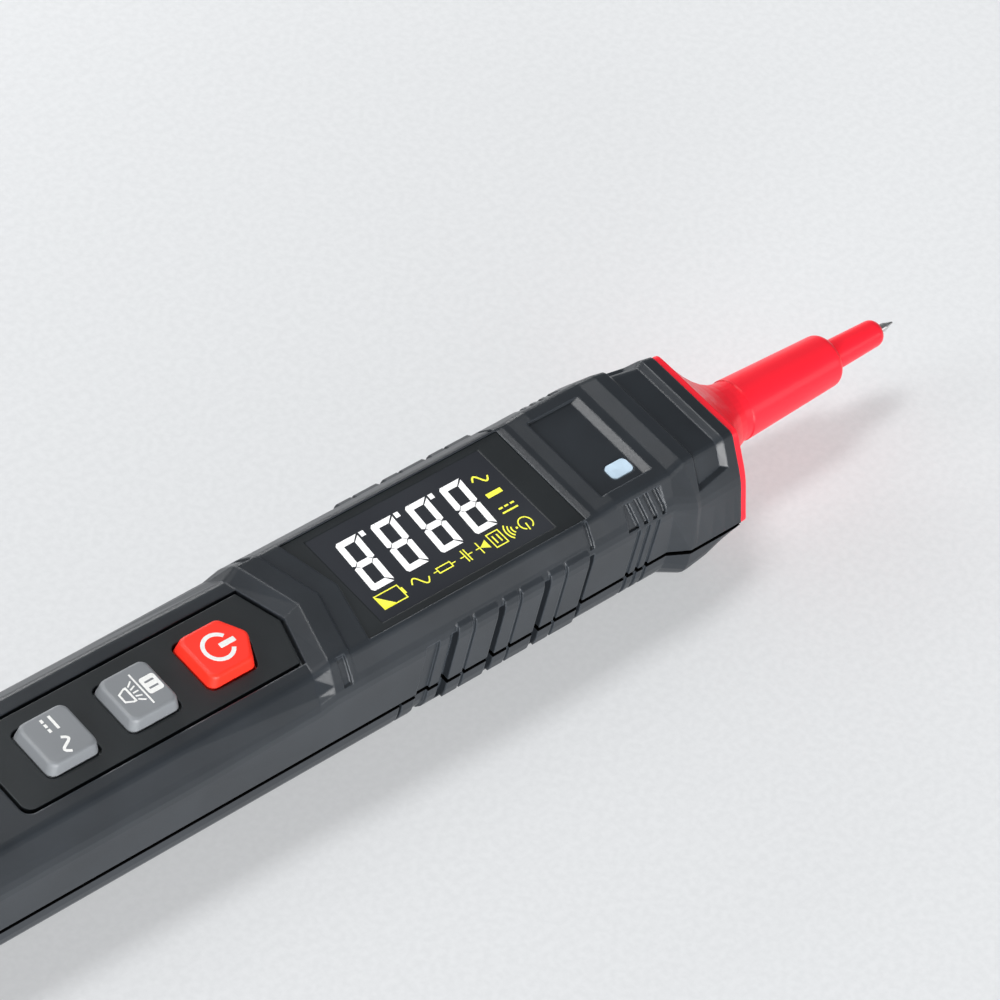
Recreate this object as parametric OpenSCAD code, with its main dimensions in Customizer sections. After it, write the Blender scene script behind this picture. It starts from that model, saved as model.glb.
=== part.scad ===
// Pen multimeter: a two-shell pen body with a probe nose, a display, three keys and two cells in line.
// The needle points along +X, +Z is up from the display side, and the origin lies under the middle.
// Places along the pen are given as t, the distance back from the needle's point.

/* [Probe] */
// Bare length of the needle in front of its sleeve
needle_out = 3.2; // [3:0.1:4]
// Radius of the bare needle
needle_r = 0.7; // [0.6:0.05:0.8]
// Length of the needle's cone
needle_cone = 1.9; // [1.5:0.1:2.2]
// Radius of the needle's shank inside the nose
shank_r = 1; // [0.9:0.05:1.1]
// Length of the narrow red sleeve
sleeve_len = 11; // [9:0.5:13]
// Radius of the sleeve at its rounded front
sleeve_front_r = 2.15; // [2:0.05:2.3]
// Radius of the sleeve where it meets the barrel
sleeve_back_r = 2.45; // [2.4:0.05:2.7]
// Length of the red barrel
barrel_len = 19.8; // [18:0.2:22]
// Radius of the barrel behind its shoulder
barrel_front_r = 4.2; // [4:0.05:4.4]
// Radius of the barrel at the flare
barrel_back_r = 4.9; // [4.7:0.05:5.1]
// Length of the flare between the barrel and the flange
flare_len = 9.8; // [9:0.2:11]
// Thickness of the flange that covers the head's front
flange_t = 1.2; // [1:0.1:1.4]
// Height of the probe's axis above the parting line
axis_rise = 3.7; // [3.4:0.1:4]

/* [Head] */
// From the head's rim to the guard's ramp
head_len = 11.3; // [10.8:0.1:12]
// How far the finger guard stands out beyond the sides
guard_out = 1.6; // [1.2:0.1:1.8]
// Height of the guard above the display's deck
guard_rise = 0.9; // [0.7:0.05:1.1]
// Height of the indicator section above the display's deck
indicator_rise = 0.4; // [0.3:0.05:0.5]
// Length of the guard's ramp
guard_ramp = 2.7; // [2.4:0.1:3]
// Length of the indicator section
indicator_len = 10.4; // [10:0.1:11]
// Length of the ramp in front of the display
brow_ramp = 3.2; // [2.8:0.1:3.6]
// Number of fins beside the indicator
fin_count = 4; // [3:1:5]

/* [Body] */
// Width of the flat deck beside the bezel
deck_margin = 0.5; // [0.3:0.05:0.7]
// Width of the bevel between the deck and the sides
bevel_w = 3.2; // [3:0.05:3.5]
// Height of the bevel between the deck and the sides
bevel_h = 3.8; // [3.5:0.1:4]
// Drop from the display's deck to the keys' deck
key_deck_drop = 1.3; // [1.1:0.05:1.5]
// Height of the arch above the display's deck
arch_rise = 0.3; // [0.2:0.05:0.4]
// Flat length of the arch
arch_flat = 3.8; // [3.4:0.1:4.2]
// Length of the arch's ramp
arch_ramp = 2.9; // [2.5:0.1:3.2]
// How far the arch's corners lie behind its middle
arch_chevron = 3; // [2.6:0.1:3.2]
// Radius of the lower corners
corner_r = 5; // [4.6:0.1:5.2]
// Distance over which the deck's edge is rounded
deck_soft = 0.8; // [0.5:0.1:1.2]
// Distance over which the side's edge is rounded
edge_soft = 1.8; // [1.2:0.1:2.2]
// Thickness of the side walls
wall = 2; // [1.8:0.05:2.1]
// Thickness of the floor
floor_t = 1.8; // [1.7:0.05:1.9]
// Height of the gap that shows along the parting line
seam_gap = 0.5; // [0.4:0.05:0.6]
// Depth of that gap
seam_depth = 0.9; // [0.6:0.1:1]

/* [Grips] */
// Distance from one thick groove to the next
grip_pitch = 8.6; // [8.2:0.1:9]
// Number of thick grooves on each side
grip_count = 4; // [3:1:4]
// Width of the thick grooves
groove_w = 1.3; // [1:0.1:1.6]
// Depth of the grooves
groove_depth = 0.9; // [0.7:0.05:1]
// How far the pads between the grooves stand out
pad_proud = 0.4; // [0.3:0.05:0.5]

/* [Display] */
// Length of the view area
view_len = 30; // [29:0.1:31]
// Width of the view area
view_w = 15; // [14.6:0.1:15.4]
// From the bezel's front edge to the view area
view_margin = 5.5; // [5:0.1:6]
// From the view area to the bezel's rear edge
bezel_tail = 2; // [1.8:0.1:2.4]
// Width of the bezel beside the view area
bezel_side = 2.2; // [2.1:0.05:2.3]
// How far the bezel's rear corners lie behind its middle
bezel_chevron = 2.5; // [2.2:0.1:2.8]
// Thickness of the bezel plate
bezel_t = 1.3; // [1.2:0.05:1.4]
// How deep the bezel lies below the deck
bezel_drop = 0.3; // [0.2:0.05:0.4]
// Thickness of the display's window in the bezel
window_t = 0.9; // [0.8:0.05:1]
// Thickness of the display cell
lcd_t = 1.8; // [1.6:0.1:2]
// Thickness of the light guide behind it
backlight_t = 3; // [2.8:0.1:3.2]

/* [Keys] */
// Half width of the key panel
panel_half = 7.1; // [7:0.05:7.2]
// How far the panel's front corners lie behind its middle
panel_chevron = 2.3; // [2:0.1:2.6]
// Thickness of the key panel
panel_t = 1.3; // [1.2:0.05:1.4]
// Gap that shows round the key panel
panel_gap = 0.55; // [0.45:0.05:0.6]
// From the panel's front to the middle of the power key
power_key_at = 11.3; // [11:0.1:11.6]
// Distance from key to key
key_pitch = 13.5; // [13.3:0.1:13.7]
// Half length of a key at its foot
key_half_x = 4.35; // [4.2:0.05:4.4]
// Half width of a key at its foot
key_half_y = 4.5; // [4.3:0.05:4.6]
// How much a key narrows on each side up to its top
key_draft = 0.4; // [0.3:0.05:0.5]
// Height of the key tops above the panel
key_rise = 1.9; // [1.7:0.05:2]
// From the last key's middle to the panel's rear edge
panel_tail = 10.1; // [9.5:0.1:10.7]
// Travel of a key
key_travel = 0.5; // [0.4:0.05:0.6]

/* [Power and lead] */
// Radius of a cell
battery_r = 5.25; // [5.2:0.05:5.25]
// Length of a cell with its nub
battery_len = 44.5; // [44:0.1:44.6]
// Thickness of the tray over the cells
tray_skin = 1.05; // [0.9:0.05:1.2]
// Thickness of the circuit board
board_t = 1.2; // [1:0.1:1.3]
// Radius of the lead socket's bore
jack_r = 2; // [1.95:0.05:2.05]
// Outer radius of the lead socket's tube
jack_tube_r = 2.5; // [2.45:0.05:2.6]
// Depth of the lead socket's bore
jack_depth = 16.5; // [15:0.5:17]

/* [Hidden] */

$fn = 64;
// How far a cut runs past the face that it leaves
over = 0.4;
// Clearance between pieces that are assembled, and of a piece that slides in another
fit_gap = 0.1;
slide_gap = 0.05;

// Distances back from the needle's point
sleeve_at = needle_out;
barrel_at = sleeve_at + sleeve_len;
flare_at = barrel_at + barrel_len;
flange_at = flare_at + flare_len;
rim_at = flange_at + flange_t;
guard_at = rim_at + head_len;
indicator_at = guard_at + guard_ramp;
brow_at = indicator_at + indicator_len;
display_at = brow_at + brow_ramp;
bezel_margin = 2.2;
bezel_at = display_at + bezel_margin;
view_at = bezel_at + view_margin;
bezel_end = view_at + view_len + bezel_tail;
step_margin = 3.3;
step_at = bezel_end + step_margin;
arch_at = step_at + arch_flat;
panel_at = arch_at + arch_ramp;
panel_len = power_key_at + 2 * key_pitch + panel_tail;
panel_end = panel_at + panel_len;
cover_lead = 1.3;
cover_at = view_at + view_len - cover_lead;

// The battery bay behind the lower shell holds one cell behind the other
bay_wall = 1.7;
contact_t = 0.4;
spring_len = 2.9;
tail_block = 5;
bay_at = cover_at + bay_wall;
front_cell_at = bay_at + contact_t;
rear_cell_at = front_cell_at + battery_len;
spring_at = rear_cell_at + battery_len;
bay_end = spring_at + spring_len;
total_len = bay_end + tail_block;
tip_x = total_len / 2;

// Widths, from the view area out to the bezel, the deck, the sides and the guard
view_half = view_w / 2;
bezel_half = view_half + bezel_side;
deck_half = bezel_half + deck_margin;
side_half = deck_half + bevel_w;
guard_half = side_half + guard_out;
cavity_half = side_half - wall;

// Heights, stacked from the floor through the cells, the board and the display to the deck
cell_rest = 0.25;
seam_h = floor_t + cell_rest + battery_r;
axis_h = seam_h + axis_rise;
board_h = seam_h + battery_r + tray_skin;
board_top = board_h + board_t;
lcd_bottom = board_top + backlight_t;
lcd_top = lcd_bottom + lcd_t;
bezel_seat_t = 0.5;
bezel_bottom = lcd_top + bezel_seat_t;
bezel_top = bezel_bottom + bezel_t;
window_top = bezel_bottom + window_t;
display_deck_h = bezel_top + bezel_drop;
arch_h = display_deck_h + arch_rise;
indicator_deck_h = display_deck_h + indicator_rise;
guard_h = display_deck_h + guard_rise;
key_deck_h = display_deck_h - key_deck_drop;
panel_bottom = key_deck_h - panel_t;
roof_t = 2.2;
ceiling_h = key_deck_h - roof_t;
edge_h = display_deck_h - bevel_h;

// Shapes along the pen: a block, a cross-section, a rod, and a side outline carried across
module slab(t0, t1, half, z0, z1) {
    translate([tip_x - t1, -half, z0]) cube([t1 - t0, 2 * half, z1 - z0]);
}

module along_pen(t0, t1) {
    translate([tip_x - t1, 0, 0]) rotate([90, 0, 90]) linear_extrude(t1 - t0) children();
}

module rod(t0, t1, r, z) {
    translate([tip_x - t1, 0, z]) rotate([0, 90, 0]) cylinder(h = t1 - t0, r = r);
}

module across_pen(half, outline) {
    rotate([90, 0, 0]) linear_extrude(2 * half, center = true)
        polygon([for (p = outline) [tip_x - p[0], p[1]]]);
}

module post(t, y, z, h, r) {
    translate([tip_x - t, y, z]) cylinder(h = h, r = r);
}

// The outer form is a chain of rings. A ring's values are the t of its middle, of its deck corner,
// of its edge and of its parting line, then the deck's half width and height, the edge's half width
// and height, the half width at the parting line, the height of the underside and the lower radius.
corner_steps = 6;
ease_steps = 3;
deck_mitre = tan(25);
edge_mitre = tan(20);

// Points that round the corner b between a and c, beginning a distance r from it
function eased(a, b, c, r) =
    let (p = b + (a - b) / norm(a - b) * r, q = b + (c - b) / norm(c - b) * r)
    [for (i = [0 : ease_steps])
        let (s = i / ease_steps)
        p * (1 - s) * (1 - s) + b * 2 * s * (1 - s) + q * s * s];

// One side of a ring from the underside up to the deck, set out by g from the form
function half_ring(q, g) =
    let (
        waist = [q[3], q[8] + g, seam_h],
        edge = [q[2], q[6] + g, q[7] + g * edge_mitre],
        deck = [q[1], q[4] + g * deck_mitre, q[5] + g],
        crown = [q[0], 0, q[5] + g]
    )
    concat([[q[3], 0, q[9] - g]],
        [for (i = [0 : corner_steps])
            let (turn = 90 * i / corner_steps)
            [q[3], q[8] - q[10] + (q[10] + g) * sin(turn), q[9] + q[10] - (q[10] + g) * cos(turn)]],
        [waist], eased(waist, edge, deck, edge_soft), eased(edge, deck, crown, deck_soft), [crown]);

function whole_ring(h) = [
    for (p = h) [tip_x - p[0], p[1], p[2]],
    for (i = [len(h) - 2 : -1 : 1]) [tip_x - h[i][0], -h[i][1], h[i][2]]
];

// The middle of a ring's points
function middle(ring) = [for (p = ring) 1] * ring / len(ring);

// A closed skin over rings of equal length, the first ring at the tip end
module loft(rings) {
    n = len(rings[0]);
    last = len(rings) - 1;
    points = concat([for (ring = rings) for (p = ring) p], [middle(rings[0]), middle(rings[last])]);
    sides = [
        for (k = [0 : last - 1]) for (i = [0 : n - 1])
            let (j = (i + 1) % n)
            each [[k * n + i, k * n + j, (k + 1) * n + i], [k * n + j, (k + 1) * n + j, (k + 1) * n + i]]
    ];
    ends = [
        for (i = [0 : n - 1])
            let (j = (i + 1) % n)
            each [[j, i, (last + 1) * n], [last * n + i, last * n + j, (last + 1) * n + 1]]
    ];
    polyhedron(points = points, faces = concat(sides, ends), convexity = 6);
}

// The head widens and rises from its rim to the guard, over a chin that curves up to the rim
rim_drop = 1.6;
rim_deck_tuck = 1;
rim_edge_tuck = 1.1;
rim_edge_drop = 3.4;
guard_deck_tuck = 0.4;
guard_edge_out = 0.5;
guard_edge_drop = 2;
guard_deck_half = deck_half - guard_deck_tuck;
guard_edge_half = side_half + guard_edge_out;
rim_deck_half = guard_deck_half - rim_deck_tuck;
rim_edge_half = guard_edge_half - rim_edge_tuck;
guard_corner_r = 4;
chin_len = 9;
chin_lift_shares = [[0, 0.82], [0.16, 0.6], [0.38, 0.34], [0.66, 0.12], [1, 0]];
chin_corner_share = 0.9;

function head_values(t, lift) =
    let (s = (t - rim_at) / head_len)
    [t, t, t, t, rim_deck_half + (guard_deck_half - rim_deck_half) * s, guard_h - rim_drop * (1 - s),
        rim_edge_half + (guard_edge_half - rim_edge_half) * s,
        edge_h - rim_edge_drop + (rim_edge_drop - guard_edge_drop) * s,
        guard_half, lift, min(guard_corner_r, (seam_h - lift) * chin_corner_share)];

// Offsets of the rings' edges and parting line from their middles, to the tip or to the tail
guard_edge_lead = 1.5;
guard_seam_lead = 1.3;
indicator_edge_lag = 0.8;
indicator_seam_lead = 0.6;
brow_edge_lag = 0.6;
display_edge_lead = 1.7;
step_len = 0.3;
arch_edge_lag = 3.4;
panel_deck_lag = 2.2;
panel_edge_lag = 3.2;
arch_seam_lag = 1;
lower_tuck = 0.1;
lower_half = side_half - lower_tuck;
arch_foot_tuck = 0.5;
arch_foot_half = deck_half - arch_foot_tuck;
key_edge_drop = 0.8;
rear_edge_drop = 1.4;
rear_edge_out = 0.1;
rear_edge_half = side_half + rear_edge_out;
rear_deck_tuck = 0.2;
rear_deck_half = deck_half - rear_deck_tuck;
rear_at = (panel_at + panel_end) / 2;
tail_round = 3;
tail_round_shares = [[1, 0], [0.6, 0.12], [0.25, 0.4], [0, 1]];
tail_in = 1.2;

chin_rings = [for (s = chin_lift_shares) head_values(rim_at + chin_len * s[0], seam_h * s[1])];

body_rings = [
    [guard_at, guard_at, guard_at - guard_edge_lead, guard_at - guard_seam_lead, guard_deck_half, guard_h,
        guard_edge_half, edge_h - guard_edge_drop, guard_half, 0, guard_corner_r],
    [indicator_at, indicator_at, indicator_at + indicator_edge_lag, indicator_at - indicator_seam_lead,
        deck_half, indicator_deck_h, side_half, edge_h, lower_half, 0, corner_r],
    [brow_at, brow_at, brow_at + brow_edge_lag, brow_at, deck_half, indicator_deck_h,
        side_half, edge_h, lower_half, 0, corner_r],
    [display_at, display_at, display_at - display_edge_lead, display_at - display_edge_lead,
        deck_half, display_deck_h, side_half, edge_h, lower_half, 0, corner_r],
    [step_at, step_at + arch_chevron, step_at + arch_chevron, step_at, deck_half, display_deck_h,
        side_half, edge_h, lower_half, 0, corner_r],
    [step_at + step_len, step_at + arch_chevron + step_len, step_at + arch_chevron + step_len,
        step_at + step_len, deck_half, arch_h, side_half, edge_h, lower_half, 0, corner_r],
    [arch_at, arch_at + arch_chevron, arch_at + arch_edge_lag, arch_at + arch_seam_lag,
        deck_half, arch_h, side_half, edge_h, lower_half, 0, corner_r],
    [panel_at, panel_at + panel_deck_lag, panel_at + panel_edge_lag, panel_at,
        arch_foot_half, key_deck_h, side_half, edge_h - key_edge_drop, lower_half, 0, corner_r],
    [rear_at, rear_at, rear_at, rear_at, rear_deck_half, key_deck_h,
        rear_edge_half, edge_h - rear_edge_drop, lower_half, 0, corner_r]
];

tail_rings = [
    for (s = tail_round_shares)
        let (t = total_len - tail_round * s[0], g = tail_in * s[1])
        [t, t, t, t, rear_deck_half - g, key_deck_h - g, rear_edge_half - g, edge_h - rear_edge_drop,
            lower_half - g, g, corner_r - g]
];

rings = concat(chin_rings, body_rings, tail_rings);
grip_rings = [for (i = [0 : 6]) body_rings[i]];

module form(g, chain) {
    loft([for (q = chain) whole_ring(half_ring(q, g))]);
}

// Grip pads with slanting tops on both sides, between upright grooves
grip_lead = 3.1;
grip_at = display_at + grip_lead;
thin_groove_w = 0.6;
thin_groove_lead = 3.5;
pad_top_out = 1.2;
pad_top_in = 1.6;
pad_reach = 3.4;
pad_foot = 3.2;
wide_groove_w = 2.4;
wide_groove_lag = 3.7;
wide_groove_depth = 0.4;
strip_w = 0.8;
strip_count = 3;
strip_pitch = 1.9;
strip_lead = 3.6;
groove_top = edge_h - over;
reach = guard_half + over;

module pad_block(t0, t1) {
    along_pen(t0, t1) polygon([
        [-reach, pad_foot], [reach, pad_foot], [reach, edge_h - pad_top_out],
        [reach - pad_reach - over, edge_h + pad_top_in], [-reach + pad_reach + over, edge_h + pad_top_in],
        [-reach, edge_h - pad_top_out]
    ]);
}

module grip_pads() {
    intersection() {
        form(pad_proud, grip_rings);
        for (i = [1 : grip_count - 1]) {
            back = grip_at + i * grip_pitch;
            pad_block(back - grip_pitch + groove_w / 2, back - thin_groove_lead - thin_groove_w / 2);
            pad_block(back - thin_groove_lead + thin_groove_w / 2, back - groove_w / 2);
        }
    }
}

module side_grooves() {
    wide_at = grip_at + (grip_count - 1) * grip_pitch + wide_groove_lag;
    difference() {
        for (i = [0 : grip_count - 1]) {
            t = grip_at + i * grip_pitch;
            slab(t - groove_w / 2, t + groove_w / 2, reach, pad_foot, groove_top);
        }
        form(-groove_depth, grip_rings);
    }
    difference() {
        union() {
            slab(wide_at - wide_groove_w / 2, wide_at + wide_groove_w / 2, reach, -over, groove_top);
            for (i = [0 : strip_count - 1]) {
                t = indicator_at + strip_lead + i * strip_pitch;
                slab(t - strip_w / 2, t + strip_w / 2, reach, -over, groove_top - fin_foot);
            }
        }
        form(-wide_groove_depth, grip_rings);
    }
}

// A pocket with sloping ends runs over the top of the head and down both its bevels
pocket_lead = 2;
pocket_len = 7.2;
pocket_slope = 1.1;
pocket_depth = 0.9;
pocket_foot_rise = 0.6;
pocket_at = rim_at + pocket_lead;

function pocket_ring(t, g) = whole_ring(half_ring(head_values(t, 0), g));

module head_pocket() {
    difference() {
        slab(pocket_at, pocket_at + pocket_len, guard_half, edge_h - pocket_foot_rise, guard_h + over);
        loft([
            pocket_ring(pocket_at - over, over), pocket_ring(pocket_at, over / 4),
            pocket_ring(pocket_at + pocket_slope, -pocket_depth),
            pocket_ring(pocket_at + pocket_len - pocket_slope, -pocket_depth),
            pocket_ring(pocket_at + pocket_len, over / 4), pocket_ring(pocket_at + pocket_len + over, over)
        ]);
    }
}

// Slanting fins in a recess on each bevel beside the indicator
fin_w = 0.9;
fin_recess_lead = 2.2;
fin_recess_len = 7.2;
fin_recess_at = indicator_at + fin_recess_lead;
fin_depth = 0.8;
fin_sink = 0.15;
fin_head = 0.9;
fin_foot = 0.3;
fin_slant = 12;
bevel_angle = atan2(bevel_h + indicator_rise, side_half - deck_half);
bevel_len = norm([bevel_h + indicator_rise, side_half - deck_half]);
fin_space = (fin_recess_len - fin_count * fin_w) / fin_count;

// Places its children on a bevel: x along the pen to the tip, y down the bevel, z out of it
module on_bevel(side) {
    mirror([0, side, 0]) translate([tip_x - fin_recess_at - fin_recess_len, deck_half, indicator_deck_h])
        rotate([-bevel_angle, 0, 0]) children();
}

module fin_recess(side) {
    on_bevel(side) difference() {
        translate([0, fin_head, -fin_depth]) cube([fin_recess_len, bevel_len - fin_head, fin_depth + over]);
        for (i = [0 : fin_count - 1])
            translate([i * (fin_w + fin_space) + fin_space, 0, -fin_depth - over]) rotate([0, 0, -fin_slant])
                cube([fin_w, bevel_len + over, fin_depth + over - fin_sink]);
    }
}

// A short slot across each bevel beside the arch, and a notch beside the bezel's front
slot_w = 1.5;
slot_depth = 0.5;
slot_lead = 1.8;
slot_rise = 0.4;
slot_tuck = 0.2;
slot_at = step_at + arch_chevron + slot_lead;
notch_w = 0.8;
notch_lead = 0.6;
notch_at = bezel_at + notch_lead;

module bevel_slots() {
    difference() {
        for (q = [[slot_at, slot_w], [notch_at, notch_w]])
            slab(q[0] - q[1] / 2, q[0] + q[1] / 2, reach, edge_h + slot_rise, guard_h + over);
        slab(bezel_at - slot_w, slot_at + slot_w, deck_half - slot_tuck, edge_h, guard_h + 2 * over);
        form(-slot_depth, rings);
    }
}

// The indicator's pad has a sloping wall towards the tip, and a window on one side
pad_margin = 2.1;
pad_half = deck_half - pad_margin;
pad_depth = 0.5;
pad_lead = 1.6;
pad_slope = 1.3;
pad_overlap = 0.9;
lens_len = 4;
lens_w = 2.6;
lens_margin = 1.5;
lens_y = -(pad_half - lens_margin - lens_w / 2);
lens_lead = 5.4;
lens_corner = 0.8;
lens_at = indicator_at + lens_lead;
pad_floor_h = indicator_deck_h - pad_depth;

module indicator_pad() {
    across_pen(pad_half, [
        [indicator_at + pad_lead - pad_slope, indicator_deck_h + pad_depth],
        [indicator_at + pad_lead + pad_slope, pad_floor_h],
        [brow_at + pad_overlap, pad_floor_h], [brow_at + pad_overlap, indicator_deck_h + pad_depth]
    ]);
}

module rounded(len_x, len_y, r) {
    square([len_x - 2 * r, len_y], center = true);
    square([len_x, len_y - 2 * r], center = true);
    for (x = [-1, 1]) for (y = [-1, 1]) translate([x * (len_x / 2 - r), y * (len_y / 2 - r)]) circle(r);
}

module gripped_form() {
    difference() {
        union() {
            form(0, rings);
            grip_pads();
        }
        side_grooves();
    }
}

module dressed_form() {
    difference() {
        gripped_form();
        head_pocket();
        bevel_slots();
        for (side = [0, 1]) fin_recess(side);
        indicator_pad();
    }
}

// The hollow inside both shells, lower and narrower in the head
front_wall = 3.2;
lower_bevel = 3.2;
upper_bevel = 2.8;
head_cavity_tuck = 2;
head_cavity_half = cavity_half - head_cavity_tuck;
head_roof_drop = 0.6;
head_cavity_top = ceiling_h - head_roof_drop;
head_floor_rise = 2.7;
head_cavity_floor = floor_t + head_floor_rise;
board_lead = 1;
board_front = indicator_at + board_lead;

module cavity_profile(half, z0, z1) {
    polygon([
        [-half + lower_bevel, z0], [half - lower_bevel, z0],
        [half, z0 + lower_bevel], [half, z1 - upper_bevel],
        [half - upper_bevel, z1], [-half + upper_bevel, z1],
        [-half, z1 - upper_bevel], [-half, z0 + lower_bevel]
    ]);
}

module cavity() {
    along_pen(rim_at + front_wall, board_front + over)
        cavity_profile(head_cavity_half, head_cavity_floor, head_cavity_top);
    along_pen(board_front, bay_end) cavity_profile(cavity_half, floor_t, ceiling_h);
}

// The nose is held by a lipped collar behind the rim
collar_r = 4.2;
lip_r = 5.2;
collar_tail = 1.6;
collar_end = rim_at + front_wall + collar_tail;

module nose_seat() {
    rod(rim_at - over, rim_at + front_wall + over, collar_r + fit_gap, axis_h);
    rod(rim_at + front_wall, collar_end + over, lip_r + fit_gap, axis_h);
}

// Outline of the bezel, a rectangle whose rear edge is a chevron, grown by g
module bezel_outline(g) {
    polygon([
        [tip_x - bezel_at + g, -bezel_half - g], [tip_x - bezel_at + g, bezel_half + g],
        [tip_x - bezel_end - bezel_chevron - g, bezel_half + g], [tip_x - bezel_end - g, 0],
        [tip_x - bezel_end - bezel_chevron - g, -bezel_half - g]
    ]);
}

// Outline of the key panel, with a chevron at the front and rounded rear corners, grown by g
panel_corner = 1.6;
panel_corner_steps = 6;

module panel_outline(g) {
    back = tip_x - panel_end - g;
    front = tip_x - panel_at + g;
    wide = panel_half + g;
    turns = [for (i = [0 : panel_corner_steps]) 90 * i / panel_corner_steps];
    corner = [for (a = turns) [back + panel_corner * (1 - sin(a)), wide - panel_corner * (1 - cos(a))]];
    other = [for (i = [panel_corner_steps : -1 : 0]) [corner[i][0], -corner[i][1]]];
    polygon(concat([[front, 0], [front - panel_chevron, wide]], corner, other,
        [[front - panel_chevron, -wide]]));
}

view_ledge = 0.9;
window_lap = 0.7;
lcd_lap = 1.9;
lcd_side_lap = 1.4;
panel_ledge = 0.9;
bezel_slope = 1.2;

boss_r = 2.4;
screw_r = 1;
screw_len = 9;
screw_head_r = 2.1;
screw_head_t = 1.3;
pilot_bite = 0.1;
pilot_len = 5;
front_boss_lead = 4.8;
front_boss_at = view_at - front_boss_lead;
front_boss_gap = 1.4;
front_boss_y = cavity_half - boss_r - front_boss_gap;
ear_lead = 4.4;
ear_at = cover_at - ear_lead;
ear_gap = 1;
ear_y = cavity_half - boss_r - ear_gap;
jack_face = 1.5;
jack_back = 2;
jack_wall = 1.4;
jack_h = board_h + jack_tube_r;
jack_end = total_len - jack_face;
jack_start = jack_end - jack_depth - jack_back;
cover_screw_lead = 2.9;
cover_screw_at = total_len - cover_screw_lead;

module display_seat() {
    translate([0, 0, bezel_bottom]) linear_extrude(bezel_t + over) bezel_outline(fit_gap);
    across_pen(bezel_half + fit_gap, [
        [bezel_at - bezel_slope, display_deck_h], [bezel_at + over, bezel_top],
        [bezel_at + over, display_deck_h + over], [bezel_at - bezel_slope, display_deck_h + over]
    ]);
    slab(view_at - view_ledge, view_at + view_len + view_ledge, view_half + view_ledge,
        ceiling_h - over, bezel_top);
    slab(view_at - lcd_lap - fit_gap, view_at + view_len + lcd_lap + fit_gap,
        view_half + lcd_side_lap + fit_gap, board_top, lcd_top);
}

module panel_seat() {
    translate([0, 0, panel_bottom]) linear_extrude(panel_t + arch_rise + key_deck_drop + over)
        panel_outline(panel_gap);
    translate([0, 0, ceiling_h - over]) linear_extrude(panel_t + over) panel_outline(-panel_ledge);
}

module jack_seat() {
    rod(jack_start, jack_end, jack_tube_r + slide_gap, jack_h);
    rod(jack_end - over, total_len + over, jack_r + 2 * fit_gap, jack_h);
    slab(jack_start, bay_end, jack_tube_r + slide_gap, board_h - over, jack_h);
    slab(jack_start - jack_wall - over, jack_start + over, tag_half + fit_gap, board_h - over, jack_h);
}

module top_shell() {
    color("#3b3f42") difference() {
        union() {
            difference() {
                intersection() {
                    dressed_form();
                    slab(rim_at - over, total_len + over, reach, seam_h, guard_h + over);
                }
                cavity();
            }
            for (y = [-front_boss_y, front_boss_y])
                post(front_boss_at, y, seam_h, ceiling_h - seam_h + over, boss_r);
            slab(jack_start - jack_wall, bay_end + over, jack_tube_r + jack_wall, board_h, ceiling_h + over);
        }
        nose_seat();
        display_seat();
        panel_seat();
        jack_seat();
        translate([tip_x - lens_at, lens_y, ceiling_h - over]) linear_extrude(indicator_deck_h)
            rounded(lens_len + 2 * fit_gap, lens_w + 2 * fit_gap, lens_corner);
        for (y = [-front_boss_y, front_boss_y])
            post(front_boss_at, y, seam_h - over, pilot_len, screw_r - pilot_bite);
        post(cover_screw_at, 0, seam_h - over, pilot_len, screw_r + slide_gap);
    }
}

module lower_shell(t0, t1) {
    difference() {
        intersection() {
            children();
            slab(t0, t1, reach, -over, seam_h);
        }
        cavity();
        difference() {
            slab(t0 - over, t1 + over, reach, seam_h - seam_gap, seam_h + over);
            form(-seam_depth, rings);
        }
    }
}

// A hole with a counterbore for a screw's head, from below
module screw_hole(t, y) {
    post(t, y, -over, seam_h + 2 * over, screw_r + fit_gap);
    post(t, y, -over, floor_t + over, screw_head_r + fit_gap);
}

// The torch shines forward and down from the chin
torch_r = 1.5;
torch_t_share = 0.5;
torch_lift_share = 0.225;
torch_tilt = 57;
torch_lens_t = 1.6;
torch_sink = 0.1;
torch_led_len = 2.4;
torch_led_inset = 0.3;
torch_reach = 4;
torch_back = torch_sink + torch_lens_t + torch_led_len;

module torch_axis() {
    translate([tip_x - rim_at - chin_len * torch_t_share, 0, seam_h * torch_lift_share])
        rotate([0, 90 + torch_tilt, 0]) children();
}

cover_gap = 0.6;
cover_rib_drop = 2;

module bottom_shell() {
    color("#3b3f42") difference() {
        union() {
            lower_shell(rim_at - over, cover_at - cover_gap / 2) gripped_form();
            for (y = [-front_boss_y, front_boss_y])
                post(front_boss_at, y, floor_t - over, seam_h - floor_t + over, boss_r);
            for (y = [-ear_y, ear_y]) post(ear_at, y, floor_t - over, seam_h - floor_t + over, boss_r);
        }
        nose_seat();
        for (y = [-1, 1]) {
            screw_hole(front_boss_at, y * front_boss_y);
            screw_hole(ear_at, y * ear_y);
        }
        torch_axis() translate([0, 0, -torch_back - over])
            cylinder(h = torch_back + torch_reach, r = torch_r + slide_gap);
    }
}

module battery_cover() {
    color("#3b3f42") difference() {
        union() {
            lower_shell(cover_at + cover_gap / 2, total_len + over) form(0, rings);
            slab(cover_at + cover_gap / 2, bay_at, cavity_half - lower_bevel,
                floor_t - over, seam_h - cover_rib_drop);
        }
        screw_hole(cover_screw_at, 0);
    }
}

// The flare runs from the barrel's circle to the rim's outline, which is divided into short pieces
flange_inset = 0.25;
flare_piece = 2;
flare_steps = 7;
flare_bend = 2.2;
flare_step = 0.15;
flare_root = 0.5;

function divided(a, b) =
    let (parts = max(1, round(norm(b - a) / flare_piece)))
    [for (i = [0 : parts - 1]) a + (b - a) * i / parts];

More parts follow.
